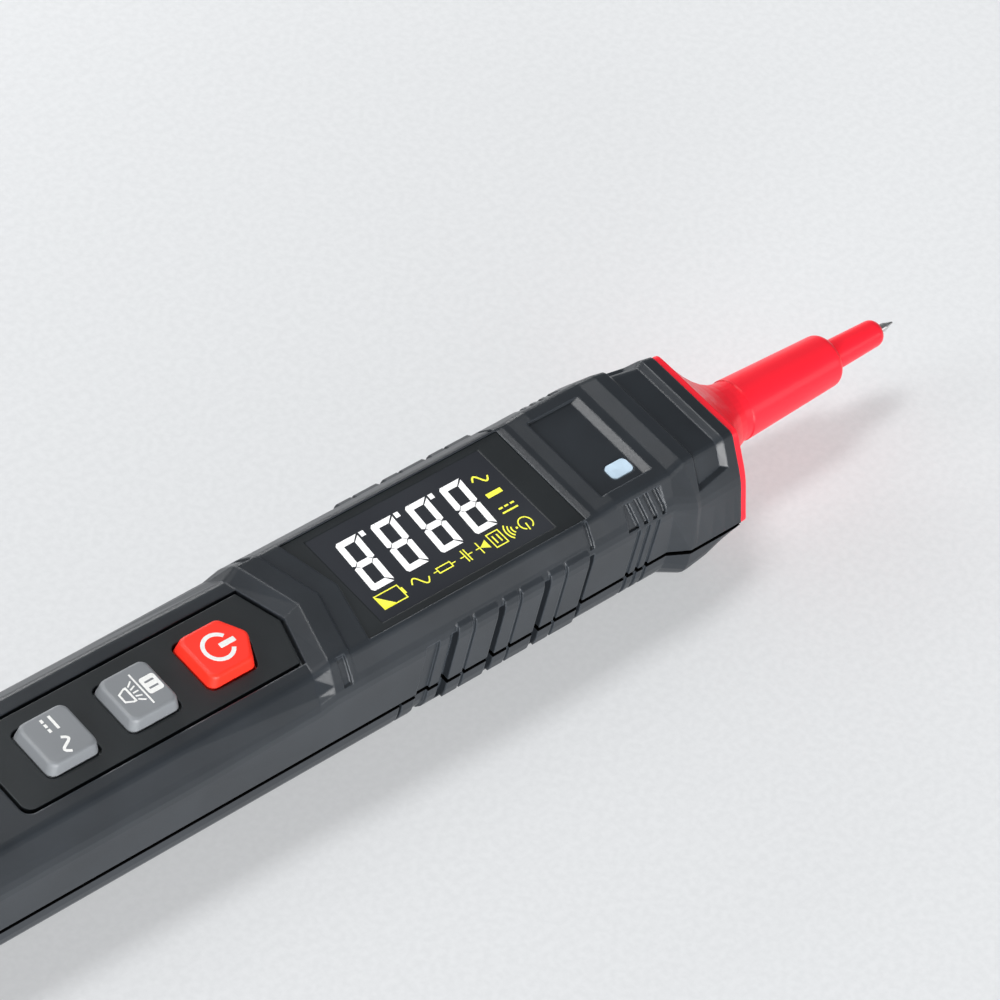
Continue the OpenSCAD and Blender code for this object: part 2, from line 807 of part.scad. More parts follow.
rim_half = [for (p = half_ring(rings[0], -flange_inset)) [p[1], p[2] - axis_h]];
rim_right = [for (i = [0 : len(rim_half) - 2]) each divided(rim_half[i], rim_half[i + 1])];
rim_outline = concat(rim_right, [rim_half[len(rim_half) - 1]],
    [for (i = [len(rim_right) - 1 : -1 : 1]) [-rim_right[i][0], rim_right[i][1]]]);

function flare_ring(t, s) = [
    for (p = rim_outline)
        let (share = (barrel_back_r - flare_step) / norm(p), q = p * (share + (1 - share) * s))
        [tip_x - t, q[0], axis_h + q[1]]
];

module flare() {
    loft(concat([flare_ring(flare_at - flare_root, 0)],
        [for (i = [0 : flare_steps])
            flare_ring(flare_at + flare_len * i / flare_steps, pow(i / flare_steps, flare_bend))],
        [flare_ring(rim_at, 1)]));
}

// Half section of the barrel and its sleeve, radius against distance, with rounded front edges
sleeve_round = 1.5;
barrel_round = 1.3;
round_steps = 6;

function rounded_front(r, t, round_r) = [
    for (i = [0 : round_steps])
        let (turn = 90 * i / round_steps)
        [r - round_r + round_r * sin(turn), t + round_r - round_r * cos(turn)]
];

module turned() {
    translate([tip_x, 0, axis_h]) rotate([0, -90, 0]) rotate_extrude() children();
}

terminal_r = 2.2;
terminal_lead = 2;
terminal_socket = 6;
terminal_tail = 0.8;
needle_shoulder = 2;
terminal_at = flare_at + terminal_lead;
terminal_end = collar_end + terminal_tail;

module probe_nose() {
    color("#e8263a") difference() {
        union() {
            turned() polygon(concat([[0, sleeve_at]], rounded_front(sleeve_front_r, sleeve_at, sleeve_round),
                [[sleeve_back_r, barrel_at]], rounded_front(barrel_front_r, barrel_at, barrel_round),
                [[barrel_back_r, flare_at], [0, flare_at]]));
            flare();
            rod(rim_at - over, collar_end, collar_r, axis_h);
            rod(rim_at + front_wall + fit_gap, collar_end, lip_r, axis_h);
        }
        rod(needle_out - over, needle_out + needle_shoulder + over, needle_r + slide_gap, axis_h);
        rod(needle_out + needle_shoulder - fit_gap, terminal_at + over, shank_r + slide_gap, axis_h);
        rod(terminal_at, collar_end + over, terminal_r + slide_gap, axis_h);
    }
}

needle_point_r = 0.12;
needle_nose = 0.06;

module probe_needle() {
    color("silver") turned() polygon([
        [0, 0], [needle_point_r, needle_nose], [needle_r, needle_cone],
        [needle_r, needle_out + needle_shoulder],
        [shank_r, needle_out + needle_shoulder], [shank_r, terminal_at + terminal_socket],
        [0, terminal_at + terminal_socket]
    ]);
}

module probe_terminal() {
    color("#c9a24a") difference() {
        rod(terminal_at, terminal_end, terminal_r, axis_h);
        rod(terminal_at - over, terminal_at + terminal_socket + fit_gap, shank_r + slide_gap, axis_h);
    }
}

strap_half = 1.1;
strap_t = 0.4;
strap_lap = 3;
strap_drop = 1;

module probe_strap() {
    color("#c9a24a") {
        slab(terminal_end, terminal_end + strap_t, strap_half, axis_h - strap_drop, board_h);
        slab(terminal_end + strap_t, board_front + strap_lap, strap_half, board_h - strap_t, board_h);
    }
}

view_slope = 1.1;

module display_bezel() {
    color("#33373a") difference() {
        translate([0, 0, bezel_bottom]) linear_extrude(bezel_t) bezel_outline(0);
        slab(view_at, view_at + view_len, view_half, bezel_bottom - over, bezel_top + over);
        slab(view_at - window_lap - slide_gap, view_at + view_len + window_lap + slide_gap,
            view_half + window_lap + slide_gap, bezel_bottom - over, window_top);
        hull() {
            slab(view_at, view_at + view_len, view_half, window_top, bezel_top);
            slab(view_at - view_slope, view_at + view_len + view_slope, view_half + view_slope,
                bezel_top, bezel_top + over);
        }
    }
}

module display_window() {
    color("#1c1e22") slab(view_at - window_lap, view_at + view_len + window_lap, view_half + window_lap,
        lcd_top, window_top);
}

module lcd_plate(z0, z1) {
    slab(view_at - lcd_lap, view_at + view_len + lcd_lap, view_half + lcd_side_lap, z0, z1);
}

module display_cell() {
    color("#202226") lcd_plate(lcd_bottom, lcd_top);
}

module backlight() {
    color("#e9ecef") lcd_plate(board_top, lcd_bottom);
}

// A key narrows to a soft-edged top and has a flange under the panel. The power key comes to a
// blunt point towards the tip
key_corner = 1.2;
key_gap = 0.2;
key_point = 1.2;
key_shoulder = 0.4;
key_soft = 0.4;
key_skin = 0.1;
key_flange_t = 0.8;
key_flange_out = 0.7;
key_fn = 32;
key_top_h = key_deck_h + key_rise;
key_foot_h = panel_bottom - fit_gap;

function key_at(i) = panel_at + power_key_at + i * key_pitch;

module key_outline(i, g) {
    x = key_half_x - key_corner - g;
    y = key_half_y - key_corner - g;
    point = i == 0 ? key_point : 0;
    shoulder = i == 0 ? key_shoulder : 0;
    offset(key_corner, $fn = key_fn)
        polygon([[-x, -y], [x - shoulder, -y], [x + point, 0], [x - shoulder, y], [-x, y]]);
}

module key_layer(i, g, z, t) {
    translate([0, 0, z]) linear_extrude(t) key_outline(i, g);
}

module key(i) {
    translate([tip_x - key_at(i), 0, 0]) {
        hull() {
            key_layer(i, 0, key_foot_h, panel_t / 2);
            key_layer(i, key_draft, key_top_h - key_soft - key_skin, key_skin);
            key_layer(i, key_draft + key_soft / 3, key_top_h - key_soft / 3 - key_skin, key_skin);
            key_layer(i, key_draft + key_soft, key_top_h - key_skin, key_skin);
        }
        key_layer(i, -key_flange_out, key_foot_h - key_flange_t, key_flange_t);
    }
}

module power_key() {
    color("#ff2a1c") key(0);
}

module light_key() {
    color("#8e9296") key(1);
}

module function_key() {
    color("#8e9296") key(2);
}

module key_panel() {
    color("#35393c") difference() {
        translate([0, 0, panel_bottom]) linear_extrude(panel_t) panel_outline(0);
        for (i = [0 : 2])
            translate([tip_x - key_at(i), 0, panel_bottom - over]) linear_extrude(panel_t + 2 * over)
                key_outline(i, -key_gap);
    }
}

// Tact switches on the board, with a round plunger under each key
switch_half = 3;
switch_out = 0.9;
plunger_sink = 0.9;
plunger_r = 1.6;
plunger_play = 0.08;
plunger_rest = 0.15;
plunger_top = key_foot_h - key_flange_t;
switch_top = plunger_top - switch_out;
plunger_bottom = switch_top - plunger_sink;

module plunger(i) {
    color("#2a2a2c") post(key_at(i), 0, plunger_bottom, plunger_top - plunger_bottom, plunger_r);
}

module power_plunger() {
    plunger(0);
}

module light_plunger() {
    plunger(1);
}

module function_plunger() {
    plunger(2);
}

module tact_switches() {
    color("#55585c") for (i = [0 : 2]) difference() {
        slab(key_at(i) - switch_half, key_at(i) + switch_half, switch_half, board_top, switch_top);
        post(key_at(i), 0, plunger_bottom - key_travel - plunger_rest, switch_top, plunger_r + plunger_play);
    }
}

lens_foot_drop = 1.5;
lens_stand = 0.1;
lens_foot = ceiling_h - lens_foot_drop;
led_half = 0.8;
led_gap = 0.2;

module indicator_lens() {
    color("#cfdfea") translate([tip_x - lens_at, lens_y, lens_foot])
        linear_extrude(pad_floor_h + lens_stand - lens_foot) rounded(lens_len, lens_w, lens_corner);
}

module indicator_led() {
    color("#f4f4ee") translate([0, lens_y, 0])
        slab(lens_at - led_half, lens_at + led_half, led_half, board_top, lens_foot - led_gap);
}

board_margin = 0.7;
board_back_gap = 1;
board_back = jack_start - jack_wall - board_back_gap;

module circuit_board() {
    color("#1f6b3a") difference() {
        slab(board_front, board_back, cavity_half - board_margin, board_h, board_top);
        for (y = [-front_boss_y, front_boss_y])
            post(front_boss_at, y, board_h - over, board_t + 2 * over, boss_r + 2 * fit_gap);
    }
}

chip_half = 5;
chip_t = 1.4;
chip_lead = 1;
chip_at = ear_at - boss_r - chip_lead - chip_half;

module meter_chip() {
    color("#1a1a1c") slab(chip_at - chip_half, chip_at + chip_half, chip_half, board_h - chip_t, board_h);
}

resistor_r = 1.2;
resistor_len = 6.5;
resistor_pitch = 3.4;
resistor_lead = 5;
resistor_at = board_front + resistor_lead;

module input_resistors() {
    color("#5b8fb5") for (i = [-1 : 1])
        translate([0, i * resistor_pitch, 0])
            rod(resistor_at, resistor_at + resistor_len, resistor_r, board_h - resistor_r);
}

buzzer_r = 3;
buzzer_t = 2;
buzzer_gap = 0.5;
buzzer_hole_r = 0.9;
buzzer_hole_depth = 0.8;
buzzer_at = board_back - buzzer_gap - buzzer_r;
buzzer_y = switch_half + buzzer_gap + buzzer_r;

module buzzer() {
    color("#222226") difference() {
        post(buzzer_at, buzzer_y, board_top, buzzer_t, buzzer_r);
        post(buzzer_at, buzzer_y, board_top + buzzer_t - buzzer_hole_depth, buzzer_t, buzzer_hole_r);
    }
}

sensor_gap = 0.6;
sensor_half = 6;
sensor_t = 0.5;

module sensor_plate() {
    color("#c9a24a") slab(collar_end + sensor_gap, board_front, sensor_half,
        head_cavity_top - sensor_t, head_cavity_top);
}

module torch_lens() {
    color("#e8eef2") torch_axis() translate([0, 0, -torch_lens_t - torch_sink])
        cylinder(h = torch_lens_t, r = torch_r);
}

module torch_led() {
    color("#f2f2e8") torch_axis() translate([0, 0, -torch_back])
        cylinder(h = torch_led_len, r = torch_r - torch_led_inset);
}

tray_wall = 1.4;
tray_web_t = 2;

module battery_tray() {
    color("#2e3134") difference() {
        union() {
            slab(bay_at - tray_wall, bay_end - fit_gap, cavity_half - 2 * fit_gap, seam_h, board_h);
            for (y = [-ear_y, ear_y]) post(ear_at, y, seam_h, board_h - seam_h, boss_r);
            slab(ear_at, bay_at, ear_y + boss_r / 2, board_h - tray_web_t, board_h);
        }
        rod(bay_at, bay_end + over, battery_r + fit_gap, seam_h);
        for (y = [-ear_y, ear_y]) post(ear_at, y, seam_h - over, pilot_len, screw_r - pilot_bite);
    }
}

nub_r = 1.9;
nub_len = 1.2;

module cell(t) {
    rod(t, t + nub_len, nub_r, seam_h);
    rod(t + nub_len, t + battery_len, battery_r, seam_h);
}

module front_cell() {
    color("#b7bcc2") cell(front_cell_at);
}

module rear_cell() {
    color("#b7bcc2") cell(rear_cell_at);
}

contact_half = 3.4;

module front_contact() {
    color("#cfd2d6")
        slab(bay_at, bay_at + contact_t, contact_half, seam_h - contact_half, seam_h + contact_half);
}

// A conical spring of round wire behind the rear cell
spring_turns = 3;
spring_wire_r = 0.3;
spring_play = 0.02;
spring_small_r = 2.2;
spring_big_r = 4.2;
spring_sides = 6;
spring_rings = 24;

function spring_ring(s) =
    let (
        turn = 360 * spring_turns * s,
        r = spring_small_r + (spring_big_r - spring_small_r) * s,
        t = spring_at + spring_wire_r + spring_play + (spring_len - 2 * spring_wire_r - 2 * spring_play) * s
    )
    [for (i = [0 : spring_sides - 1])
        let (a = 360 * i / spring_sides, out = r + spring_wire_r * cos(a))
        [tip_x - t + spring_wire_r * sin(a), out * cos(turn), seam_h + out * sin(turn)]];

module tail_spring() {
    last = spring_turns * spring_rings;
    color("#cfd2d6") loft([for (k = [0 : last]) spring_ring(k / last)]);
}

tag_half = 1.1;
tag_t = 0.8;
tag_lap = 2;

module com_jack() {
    color("#d8c27a") difference() {
        union() {
            rod(jack_start, jack_end, jack_tube_r, jack_h);
            slab(board_back - tag_lap, jack_start + over, tag_half, board_top, board_top + tag_t);
        }
        rod(jack_end - jack_depth, jack_end + over, jack_r, jack_h);
    }
}

cross_len = 2.2;
cross_w = 0.5;
cross_depth = 0.6;

module screw(t, y) {
    translate([tip_x - t, y, floor_t - screw_head_t]) {
        difference() {
            cylinder(h = screw_head_t, r = screw_head_r);
            for (turn = [0, 90]) rotate([0, 0, turn]) translate([-cross_len / 2, -cross_w / 2, -over])
                cube([cross_len, cross_w, cross_depth + over]);
        }
        cylinder(h = screw_len, r = screw_r);
    }
}

module case_screws() {
    color("#4a4d50") for (y = [-1, 1]) {
        screw(front_boss_at, y * front_boss_y);
        screw(ear_at, y * ear_y);
    }
}

module cover_screw() {
    color("#4a4d50") screw(cover_screw_at, 0);
}

top_shell();
bottom_shell();
battery_cover();
probe_nose();
probe_needle();
probe_terminal();
probe_strap();
display_bezel();
display_window();
display_cell();
backlight();
key_panel();
power_key();
light_key();
function_key();
power_plunger();
light_plunger();
function_plunger();
tact_switches();
indicator_lens();
indicator_led();
circuit_board();
meter_chip();
input_resistors();
buzzer();
sensor_plate();
torch_lens();
torch_led();
battery_tray();
front_cell();
rear_cell();
front_contact();
tail_spring();
com_jack();
case_screws();
cover_screw();
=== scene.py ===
"""Dresses the pen multimeter: materials, key symbols, display graphics, floor, light and camera."""

import math

import bmesh
import bpy
from mathutils import Matrix, Vector


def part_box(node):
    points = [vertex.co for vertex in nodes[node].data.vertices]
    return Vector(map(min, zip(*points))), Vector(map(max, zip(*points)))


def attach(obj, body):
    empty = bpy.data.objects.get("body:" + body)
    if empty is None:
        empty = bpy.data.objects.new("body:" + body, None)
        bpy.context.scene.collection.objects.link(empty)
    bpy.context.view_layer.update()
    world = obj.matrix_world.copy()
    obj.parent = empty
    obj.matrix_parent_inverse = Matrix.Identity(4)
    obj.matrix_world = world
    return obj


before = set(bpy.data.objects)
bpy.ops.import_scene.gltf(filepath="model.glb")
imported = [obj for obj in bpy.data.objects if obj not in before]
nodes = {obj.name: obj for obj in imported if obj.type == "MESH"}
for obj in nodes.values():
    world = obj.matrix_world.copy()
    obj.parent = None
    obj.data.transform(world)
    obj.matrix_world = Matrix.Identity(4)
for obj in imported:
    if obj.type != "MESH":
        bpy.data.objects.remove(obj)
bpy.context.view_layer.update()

MM = 0.001


def centre(node):
    """The middle of a node's box."""
    low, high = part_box(node)
    return (Vector(low) + Vector(high)) / 2


def top_of(node):
    """The height of a node's top."""
    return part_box(node)[1][2]


# Materials

# How fine the noise is, in features per metre
PATCHES = 90
MOULD_GRAIN = 4200
TOOL_MARKS = 1500
GLASS_HAZE = 40
INK_COVER = 2600
RESIN_CLOUD = 500
PAPER_FIBRES = 900

GRAIN_DEPTH = 0.04 * MM
TOOL_MARK_DEPTH = 0.02 * MM
TOOL_MARK_STRENGTH = 0.15
METAL_EDGE_RADIUS = 0.08 * MM
# An edge shows where its rounded and its flat normal have a product between these two
EDGE_NONE = 1.0
EDGE_FULL = 0.8
# The colour of the painted shade put in the gap between the shells in place of its shadow
SEAM_PAINTED_SHADE = (0.002, 0.002, 0.002, 1)


def new_material(name):
    """A material with nodes, its node tree and its shader."""
    material = bpy.data.materials.new(name)
    material.use_nodes = True
    tree = material.node_tree
    shader = tree.nodes["Principled BSDF"]
    return material, tree, shader


def add(tree, kind, **values):
    """Adds a node and sets its settings or inputs by name."""
    node = tree.nodes.new(kind)
    for key, value in values.items():
        if hasattr(node, key):
            setattr(node, key, value)
        else:
            node.inputs[key.replace("_", " ")].default_value = value
    return node


def noise(tree, scale, detail, fineness=(1, 1, 1)):
    """Noise in the object's own coordinates. Fineness is the share of its scale along x, y and z."""
    place = add(tree, "ShaderNodeTexCoord")
    mapping = add(tree, "ShaderNodeMapping")
    mapping.inputs["Scale"].default_value = fineness
    texture = add(tree, "ShaderNodeTexNoise", Scale=scale, Detail=detail)
    tree.links.new(place.outputs["Object"], mapping.inputs["Vector"])
    tree.links.new(mapping.outputs["Vector"], texture.inputs["Vector"])
    return texture


def ramp(tree, source, low, high, start=0.35, end=0.65):
    """Turns a grey value into a colour between low and high."""
    node = add(tree, "ShaderNodeValToRGB")
    node.color_ramp.elements[0].position = start
    node.color_ramp.elements[1].position = end
    node.color_ramp.elements[0].color = (*low, 1)
    node.color_ramp.elements[1].color = (*high, 1)
    tree.links.new(source, node.inputs["Fac"])
    return node


def spread(tree, source, low, high):
    """Turns a grey value into a number between low and high."""
    node = add(tree, "ShaderNodeMapRange")
    node.inputs["To Min"].default_value = low
    node.inputs["To Max"].default_value = high
    tree.links.new(source, node.inputs["Value"])
    return node.outputs["Result"]


def shade(colour, factor):
    """A colour made lighter or darker by a factor."""
    return tuple(channel * factor for channel in colour)


def soft_edges(tree, radius):
    """Rounds the shading of an edge, and gives a mask of where the edges are."""
    rounded = add(tree, "ShaderNodeBevel", samples=6)
    rounded.inputs["Radius"].default_value = radius
    sharp = add(tree, "ShaderNodeNewGeometry")
    dot = add(tree, "ShaderNodeVectorMath", operation="DOT_PRODUCT")
    tree.links.new(rounded.outputs["Normal"], dot.inputs[0])
    tree.links.new(sharp.outputs["Normal"], dot.inputs[1])
    mask = add(tree, "ShaderNodeMapRange")
    mask.inputs["From Min"].default_value = EDGE_NONE
    mask.inputs["From Max"].default_value = EDGE_FULL
    tree.links.new(dot.outputs["Value"], mask.inputs["Value"])
    return rounded.outputs["Normal"], mask.outputs["Result"]


def seam_shade_mask(tree, low, high):
    """A mask that is 1 between two heights in the object's own coordinates."""
    place = add(tree, "ShaderNodeTexCoord")
    split = add(tree, "ShaderNodeSeparateXYZ")
    tree.links.new(place.outputs["Object"], split.inputs["Vector"])
    above = add(tree, "ShaderNodeMath", operation="GREATER_THAN")
    below = add(tree, "ShaderNodeMath", operation="LESS_THAN")
    both = add(tree, "ShaderNodeMath", operation="MULTIPLY")
    above.inputs[1].default_value = low
    below.inputs[1].default_value = high
    tree.links.new(split.outputs["Z"], above.inputs[0])
    tree.links.new(split.outputs["Z"], below.inputs[0])
    tree.links.new(above.outputs["Value"], both.inputs[0])
    tree.links.new(below.outputs["Value"], both.inputs[1])
    return both.outputs["Value"]


def paint_shade(tree, shader, mask):
    """Paints shade: takes the colour and the sheen away where the mask is 1."""
    source = shader.inputs["Base Color"].links[0].from_socket
    dark = add(tree, "ShaderNodeMix", data_type="RGBA", blend_type="MIX")
    tree.links.new(mask, dark.inputs["Factor"])
    tree.links.new(source, dark.inputs["A"])
    dark.inputs["B"].default_value = SEAM_PAINTED_SHADE
    tree.links.new(dark.outputs["Result"], shader.inputs["Base Color"])
    sheen = shader.inputs["Specular IOR Level"].default_value
    tree.links.new(spread(tree, mask, low=sheen, high=0.0), shader.inputs["Specular IOR Level"])


def moulded(name, colour, roughness, grain=0.2, edge=1.35, edge_radius=0.25 * MM, speckle=0.12, coat=0.0,
            sheen=0.5, gloss_swing=0.06):
    """Moulded plastic with a fine spark-eroded grain, uneven gloss and a painted highlight that makes
    its edges paler.
    """
    material, tree, shader = new_material(name)
    patches = noise(tree, PATCHES, detail=4)
    fine = noise(tree, MOULD_GRAIN, detail=3)
    tint = ramp(tree, patches.outputs["Fac"], shade(colour, 1 - speckle), shade(colour, 1 + speckle))
    normal, edges = soft_edges(tree, edge_radius)
    # Painted highlight: where the edge mask is, the colour is raised by the factor edge
    painted_edge_highlight = add(tree, "ShaderNodeMix", data_type="RGBA", blend_type="MIX")
    tree.links.new(edges, painted_edge_highlight.inputs["Factor"])
    tree.links.new(tint.outputs["Color"], painted_edge_highlight.inputs["A"])
    painted_edge_highlight.inputs["B"].default_value = (*(min(1, channel) for channel in shade(colour, edge)), 1)
    tree.links.new(painted_edge_highlight.outputs["Result"], shader.inputs["Base Color"])
    gloss = spread(tree, fine.outputs["Fac"], roughness - gloss_swing, roughness + gloss_swing)
    tree.links.new(gloss, shader.inputs["Roughness"])
    bump = add(tree, "ShaderNodeBump", Strength=grain, Distance=GRAIN_DEPTH)
    tree.links.new(fine.outputs["Fac"], bump.inputs["Height"])
    tree.links.new(normal, bump.inputs["Normal"])
    tree.links.new(bump.outputs["Normal"], shader.inputs["Normal"])
    shader.inputs["Coat Weight"].default_value = coat
    shader.inputs["Specular IOR Level"].default_value = sheen
    return material


def metal(name, colour, roughness, fineness):
    """Turned or drawn metal, whose fine tool marks run where the fineness is low."""
    material, tree, shader = new_material(name)
    marks = noise(tree, TOOL_MARKS, detail=3, fineness=fineness)
    tint = ramp(tree, marks.outputs["Fac"], shade(colour, 0.82), shade(colour, 1.08))
    tree.links.new(tint.outputs["Color"], shader.inputs["Base Color"])
    gloss = spread(tree, marks.outputs["Fac"], roughness - 0.08, roughness + 0.1)
    tree.links.new(gloss, shader.inputs["Roughness"])
    normal, _ = soft_edges(tree, METAL_EDGE_RADIUS)
    bump = add(tree, "ShaderNodeBump", Strength=TOOL_MARK_STRENGTH, Distance=TOOL_MARK_DEPTH)
    tree.links.new(marks.outputs["Fac"], bump.inputs["Height"])
    tree.links.new(normal, bump.inputs["Normal"])
    tree.links.new(bump.outputs["Normal"], shader.inputs["Normal"])
    shader.inputs["Metallic"].default_value = 1.0
    return material


def display_glass():
    """The display's dark face, with a faint haze and a smooth gloss."""
    material, tree, shader = new_material("display face")
    haze = noise(tree, GLASS_HAZE, detail=2)
    tint = ramp(tree, haze.outputs["Fac"], GLASS_DARK, GLASS_HAZY)
    tree.links.new(tint.outputs["Color"], shader.inputs["Base Color"])
    tree.links.new(spread(tree, haze.outputs["Fac"], low=0.12, high=0.22), shader.inputs["Roughness"])
    shader.inputs["Coat Weight"].default_value = 0.3
    shader.inputs["Coat Roughness"].default_value = 0.08
    return material


def printed(name, colour, glow):
    """Ink or a lit display segment, with slightly uneven cover."""
    material, tree, shader = new_material(name)
    cover = noise(tree, INK_COVER, detail=2)
    tint = ramp(tree, cover.outputs["Fac"], shade(colour, 0.9), colour)
    tree.links.new(tint.outputs["Color"], shader.inputs["Base Color"])
    tree.links.new(spread(tree, cover.outputs["Fac"], low=0.4, high=0.55), shader.inputs["Roughness"])
    if glow:
        tree.links.new(tint.outputs["Color"], shader.inputs["Emission Color"])
        shader.inputs["Emission Strength"].default_value = glow
    return material


def frosted(name, colour, glow=0.0):
    """A light pipe's frosted top: pale, cloudy and a little glossy."""
    material, tree, shader = new_material(name)
    cloud = noise(tree, RESIN_CLOUD, detail=3)
    tint = ramp(tree, cloud.outputs["Fac"], shade(colour, 0.88), colour)
    tree.links.new(tint.outputs["Color"], shader.inputs["Base Color"])
    tree.links.new(spread(tree, cloud.outputs["Fac"], low=0.18, high=0.3), shader.inputs["Roughness"])
    shader.inputs["Coat Weight"].default_value = 0.4
    if glow:
        tree.links.new(tint.outputs["Color"], shader.inputs["Emission Color"])
        shader.inputs["Emission Strength"].default_value = glow
    return material


# The painted shade of the gap between the shells, a black band that also covers a thin strip beside the
# gap, in heights above the underside
SEAM_HIGH = 7.42 * MM
SEAM_LOW = 6.56 * MM

CHARCOAL = (0.022, 0.026, 0.031)
PANEL = (0.016, 0.019, 0.021)
RED = (0.96, 0.016, 0.034)
KEY_RED = (1.0, 0.035, 0.018)
KEY_GREY = (0.2, 0.212, 0.225)
GLASS_DARK = (0.022, 0.024, 0.030)
GLASS_HAZY = (0.034, 0.037, 0.044)
NEEDLE_STEEL = (0.74, 0.73, 0.72)
BRASS = (0.72, 0.52, 0.22)
SPRING_STEEL = (0.66, 0.66, 0.68)
SCREW_STEEL = (0.2, 0.2, 0.21)
CELL_DARK = (0.03, 0.032, 0.04)
GUIDE_WHITE = (0.85, 0.87, 0.88)
INDICATOR_BLUE = (0.52, 0.66, 0.78)
TORCH_CLEAR = (0.72, 0.76, 0.8)
RESIN = (0.85, 0.85, 0.78)
BOARD_GREEN = (0.012, 0.11, 0.045)
CHIP_BLACK = (0.018, 0.018, 0.02)
RESISTOR_BLUE = (0.1, 0.24, 0.4)
TRAY_GREY = (0.03, 0.033, 0.036)
CELL_JACKET = (0.36, 0.4, 0.45)
KEY_EDGE_RADIUS = 0.35 * MM
CASE_EDGE_RADIUS = 0.4 * MM

# Tool marks: rings round the x axis, coarser ones, rings round the z axis, and lines along z
TURNED_ON_X = (1, 0.2, 0.2)
COARSE_ON_X = (1, 0.3, 0.3)
TURNED_ON_Z = (0.3, 0.3, 1)
DRAWN_ALONG_Z = (1, 1, 0.2)

housing = moulded("housing", CHARCOAL, 0.33, edge=2.2, sheen=0.35, edge_radius=CASE_EDGE_RADIUS)
housing_tree = housing.node_tree
# Painted shade: the band round the gap between the shells turns black and loses its sheen, in place of
# the gap's shadow
paint_shade(housing_tree, housing_tree.nodes["Principled BSDF"], seam_shade_mask(housing_tree, SEAM_LOW, SEAM_HIGH))

looks = {
    "top_shell": housing,
    "display_bezel": moulded("bezel", PANEL, 0.44, edge=2.0, sheen=0.25),
    "key_panel": moulded("key panel", PANEL, 0.46, edge=2.0, sheen=0.25),
    "probe_nose": moulded("nose", RED, 0.36, grain=0.06, edge=1.05, edge_radius=CASE_EDGE_RADIUS,
                          speckle=0.03, coat=0.08, sheen=0.35),
    "power_key": moulded("red key", KEY_RED, 0.42, grain=0.1, edge=1.02, edge_radius=KEY_EDGE_RADIUS,
                         speckle=0.03, sheen=0.3),
    "light_key": moulded("grey key", KEY_GREY, 0.45, grain=0.1, edge=1.25, edge_radius=KEY_EDGE_RADIUS,
                         speckle=0.04),
    "probe_needle": metal("needle", NEEDLE_STEEL, 0.28, TURNED_ON_X),
    "probe_terminal": metal("brass", BRASS, 0.34, COARSE_ON_X),
    "front_contact": metal("spring steel", SPRING_STEEL, 0.3, DRAWN_ALONG_Z),
    "case_screws": metal("screw steel", SCREW_STEEL, 0.38, TURNED_ON_Z),
    "display_window": display_glass(),
    "display_cell": moulded("display cell", CELL_DARK, 0.3, grain=0.02),
    "backlight": frosted("light guide", GUIDE_WHITE),
    "indicator_lens": frosted("indicator", INDICATOR_BLUE, 0.25),
    "torch_lens": frosted("torch lens", TORCH_CLEAR),
    "indicator_led": frosted("cast resin", RESIN),
    "circuit_board": moulded("circuit board", BOARD_GREEN, 0.35, grain=0.05, coat=0.3),
    "meter_chip": moulded("chip", CHIP_BLACK, 0.55),
    "input_resistors": moulded("resistor", RESISTOR_BLUE, 0.4),
    "battery_tray": moulded("tray", TRAY_GREY, 0.5),
    "front_cell": moulded("cell jacket", CELL_JACKET, 0.32, grain=0.03, coat=0.3),
}
same_look = {
    "bottom_shell": "top_shell", "battery_cover": "top_shell", "function_key": "light_key",
    "probe_strap": "probe_terminal", "sensor_plate": "probe_terminal", "com_jack": "probe_terminal",
    "tail_spring": "front_contact", "cover_screw": "case_screws", "torch_led": "indicator_led",
    "buzzer": "meter_chip", "tact_switches": "meter_chip", "power_plunger": "meter_chip",
    "light_plunger": "meter_chip", "function_plunger": "meter_chip", "rear_cell": "front_cell",
}
for node_name, thing in nodes.items():
    material = looks[same_look.get(node_name, node_name)]
    for slot in thing.material_slots:
        slot.material = material


# Flat graphics, drawn in millimetres with x to the right and y up as they are read

def arc(cx, cy, r, start, end, steps=24):
    """Points on an arc between two angles in degrees."""
    turn = [math.radians(start + (end - start) * i / steps) for i in range(steps + 1)]
    return [(cx + r * math.cos(a), cy + r * math.sin(a)) for a in turn]


def arc_band(cx, cy, r, width, start, end):
    """A stroke along an arc."""
    return arc(cx, cy, r + width / 2, start, end) + arc(cx, cy, r - width / 2, end, start)


def bar(x0, y0, x1, y1, width):
    """A straight stroke from one point to another."""
    across = Vector((y0 - y1, x1 - x0)).normalized() * width / 2
    return [(x0 + across.x, y0 + across.y), (x1 + across.x, y1 + across.y),
            (x1 - across.x, y1 - across.y), (x0 - across.x, y0 - across.y)]


def box_frame(x0, y0, x1, y1, width):
    """A box drawn as a line just inside its corners."""
    outer = [(x0, y0), (x1, y0), (x1, y1), (x0, y1)]
    inner = [(x0 + width, y0 + width), (x1 - width, y0 + width),
             (x1 - width, y1 - width), (x0 + width, y1 - width)]
    return [outer, inner]


def rounded_box(cx, cy, wide, high, r):
    """A filled box with round corners."""
    loop = []
    for sx, sy, start in ((1, 1, 0), (-1, 1, 90), (-1, -1, 180), (1, -1, 270)):
        loop += arc(cx + sx * (wide / 2 - r), cy + sy * (high / 2 - r), r, start, start + 90, 6)
    return loop


def wave(x0, x1, y, height, width, turns=1, steps=32):
    """A sine stroke from x0 to x1."""
    def point(i, side):
        s = i / steps
        turn = 2 * math.pi * turns * s
        slope = height * math.cos(turn) * 2 * math.pi * turns / (x1 - x0)
        reach = side * width / 2 / math.hypot(1, slope)
        return (x0 + (x1 - x0) * s - slope * reach, y + height * math.sin(turn) + reach)
    return [point(i, 1) for i in range(steps + 1)] + [point(i, -1) for i in range(steps, -1, -1)]


